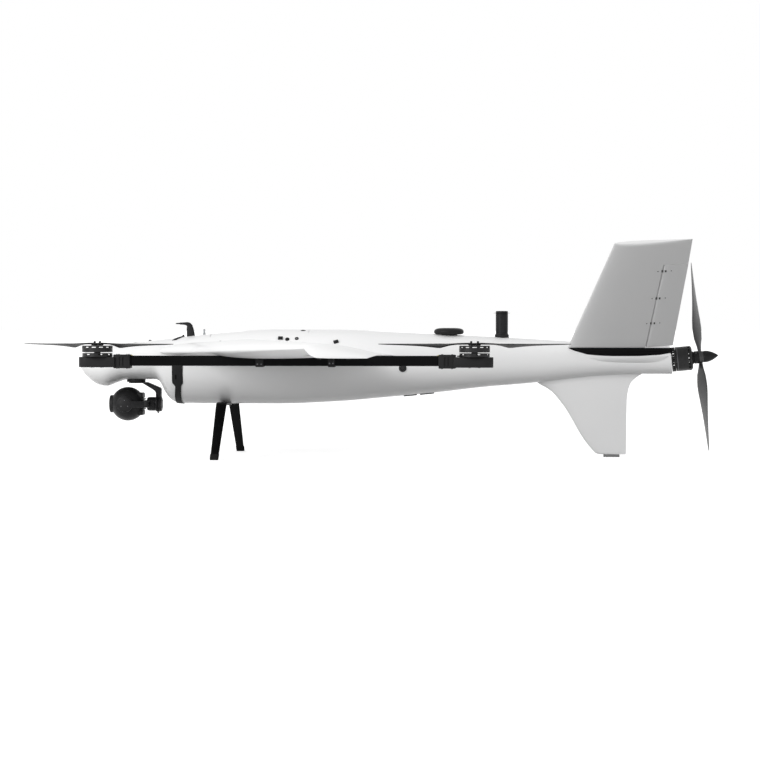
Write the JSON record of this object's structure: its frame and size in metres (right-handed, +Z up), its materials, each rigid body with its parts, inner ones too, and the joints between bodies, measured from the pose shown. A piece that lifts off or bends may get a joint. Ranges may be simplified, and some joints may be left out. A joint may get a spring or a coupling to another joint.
{
  "type": "fixed wing drone",
  "caption": "Fixed-wing VTOL drone with a V-tail, a pusher propeller, lift rotors on two booms under the wing and a nose camera gimbal.",
  "frame": {"origin": "centre of the bounding box on the ground plane that the two feet and the tail skid stand on", "axes": "+Z up, nose towards -X, starboard wing towards +Y"},
  "size_m": [2.0768, 3.3, 0.6526],
  "materials": {
    "battery_wrap": "satin",
    "black_carbon": "satin",
    "black_plastic": "matte",
    "controller_case": "matte",
    "dark_anodised": "satin",
    "grey_rubber": "matte",
    "lens_glass": "gloss",
    "light_grey_plastic": "satin",
    "white_gelcoat": "gloss"
  },
  "bodies": {
    "airframe": {"battery_pack": "battery_wrap", "boom_clamp_aft_left": "black_plastic", "boom_clamp_aft_right": "black_plastic", "boom_clamp_fore_left": "black_plastic", "boom_clamp_fore_right": "black_plastic", "boom_left": "black_carbon", "boom_right": "black_carbon", "flight_controller": "controller_case", "fuselage_shell": "white_gelcoat", "gimbal_plate": "dark_anodised", "gps_puck": "black_plastic", "leg_left": "black_carbon", "leg_right": "black_carbon", "lift_stator_front_left": "dark_anodised", "lift_stator_front_right": "dark_anodised", "lift_stator_rear_left": "dark_anodised", "lift_stator_rear_right": "dark_anodised", "motor_mount_front_left": "black_plastic", "motor_mount_front_right": "black_plastic", "motor_mount_rear_left": "black_plastic", "motor_mount_rear_right": "black_plastic", "nose_sensor": "black_plastic", "nose_strap": "black_plastic", "pin_aerial": "light_grey_plastic", "pitot_mast": "black_plastic", "pusher_stator": "dark_anodised", "tail_fin_left": "white_gelcoat", "tail_fin_right": "white_gelcoat", "tail_root_left": "black_carbon", "tail_root_right": "black_carbon", "tail_skid": "grey_rubber", "telemetry_aerial": "black_plastic", "ventral_fin": "white_gelcoat", "wing_left": "white_gelcoat", "wing_right": "white_gelcoat", "wing_root_left": "white_gelcoat", "wing_root_right": "white_gelcoat", "wingtip_left": "white_gelcoat", "wingtip_right": "white_gelcoat"},
    "rotor_front_left": {"lift_bell_front_left": "dark_anodised", "lift_prop_front_left": "black_carbon"},
    "rotor_rear_left": {"lift_bell_rear_left": "dark_anodised", "lift_prop_rear_left": "black_carbon"},
    "rotor_front_right": {"lift_bell_front_right": "dark_anodised", "lift_prop_front_right": "black_carbon"},
    "rotor_rear_right": {"lift_bell_rear_right": "dark_anodised", "lift_prop_rear_right": "black_carbon"},
    "pusher_rotor": {"pusher_bell": "dark_anodised", "pusher_prop": "black_carbon", "spinner": "dark_anodised"},
    "aileron_left": {"aileron_left": "white_gelcoat"},
    "ruddervator_left": {"ruddervator_left": "white_gelcoat"},
    "aileron_right": {"aileron_right": "white_gelcoat"},
    "ruddervator_right": {"ruddervator_right": "white_gelcoat"},
    "hatch": {"battery_hatch": "white_gelcoat"},
    "gimbal_pan": {"gimbal_arm": "dark_anodised"},
    "gimbal_roll": {"gimbal_fork": "dark_anodised"},
    "camera": {"camera_ball": "dark_anodised", "camera_lens": "lens_glass"},
    "power_button": {"power_button": "black_plastic"}
  },
  "joints": [
    {"name": "rotor_front_left_spin", "type": "hinge", "parent": "airframe", "child": "rotor_front_left", "pos_m": [-0.79098, -0.45, 0.3473], "axis": [0, 0, 1], "continuous": true},
    {"name": "rotor_rear_left_spin", "type": "hinge", "parent": "airframe", "child": "rotor_rear_left", "pos_m": [0.31642, -0.45, 0.3473], "axis": [0, 0, 1], "continuous": true},
    {"name": "rotor_front_right_spin", "type": "hinge", "parent": "airframe", "child": "rotor_front_right", "pos_m": [-0.79098, 0.45, 0.3473], "axis": [0, 0, 1], "continuous": true},
    {"name": "rotor_rear_right_spin", "type": "hinge", "parent": "airframe", "child": "rotor_rear_right", "pos_m": [0.31642, 0.45, 0.3473], "axis": [0, 0, 1], "continuous": true},
    {"name": "pusher_spin", "type": "hinge", "parent": "airframe", "child": "pusher_rotor", "pos_m": [0.89582, 0, 0.298], "axis": [0.9954, 0, 0.0958], "continuous": true},
    {"name": "aileron_left_hinge", "type": "hinge", "parent": "airframe", "child": "aileron_left", "pos_m": [0.02661, -1.271, 0.33368], "axis": [-0.2023, 0.9793, -0.0105], "range_deg": [-25, 25]},
    {"name": "ruddervator_left_hinge", "type": "hinge", "parent": "airframe", "child": "ruddervator_left", "pos_m": [0.84722, -0.20011, 0.46296], "axis": [-0.1189, 0.7708, -0.6259], "range_deg": [-25, 25]},
    {"name": "aileron_right_hinge", "type": "hinge", "parent": "airframe", "child": "aileron_right", "pos_m": [0.02661, 1.271, 0.33368], "axis": [0.2023, 0.9793, 0.0105], "range_deg": [-25, 25]},
    {"name": "ruddervator_right_hinge", "type": "hinge", "parent": "airframe", "child": "ruddervator_right", "pos_m": [0.84722, 0.20011, 0.46296], "axis": [0.1189, 0.7708, 0.6259], "range_deg": [-25, 25]},
    {"name": "hatch_hinge", "type": "hinge", "parent": "airframe", "child": "hatch", "pos_m": [-0.51698, 0, 0.37799], "axis": [0, -1, 0], "range_deg": [0, 90]},
    {"name": "gimbal_pan_turn", "type": "hinge", "parent": "airframe", "child": "gimbal_pan", "pos_m": [-0.75628, 0, 0.22], "axis": [0, 0, 1], "range_deg": [-150, 150]},
    {"name": "gimbal_roll_turn", "type": "hinge", "parent": "gimbal_pan", "child": "gimbal_roll", "pos_m": [-0.78228, 0, 0.1595], "axis": [1, 0, 0], "range_deg": [-35, 35]},
    {"name": "camera_tilt", "type": "hinge", "parent": "gimbal_roll", "child": "camera", "pos_m": [-0.78228, 0, 0.1595], "axis": [0, 1, 0], "range_deg": [-90, 30]},
    {"name": "power_button_press", "type": "slide", "parent": "airframe", "child": "power_button", "axis": [0, 1, 0], "range_m": [0, 0.002], "stiffness_N_per_m": 400, "springref_m": -0.001}
  ]
}
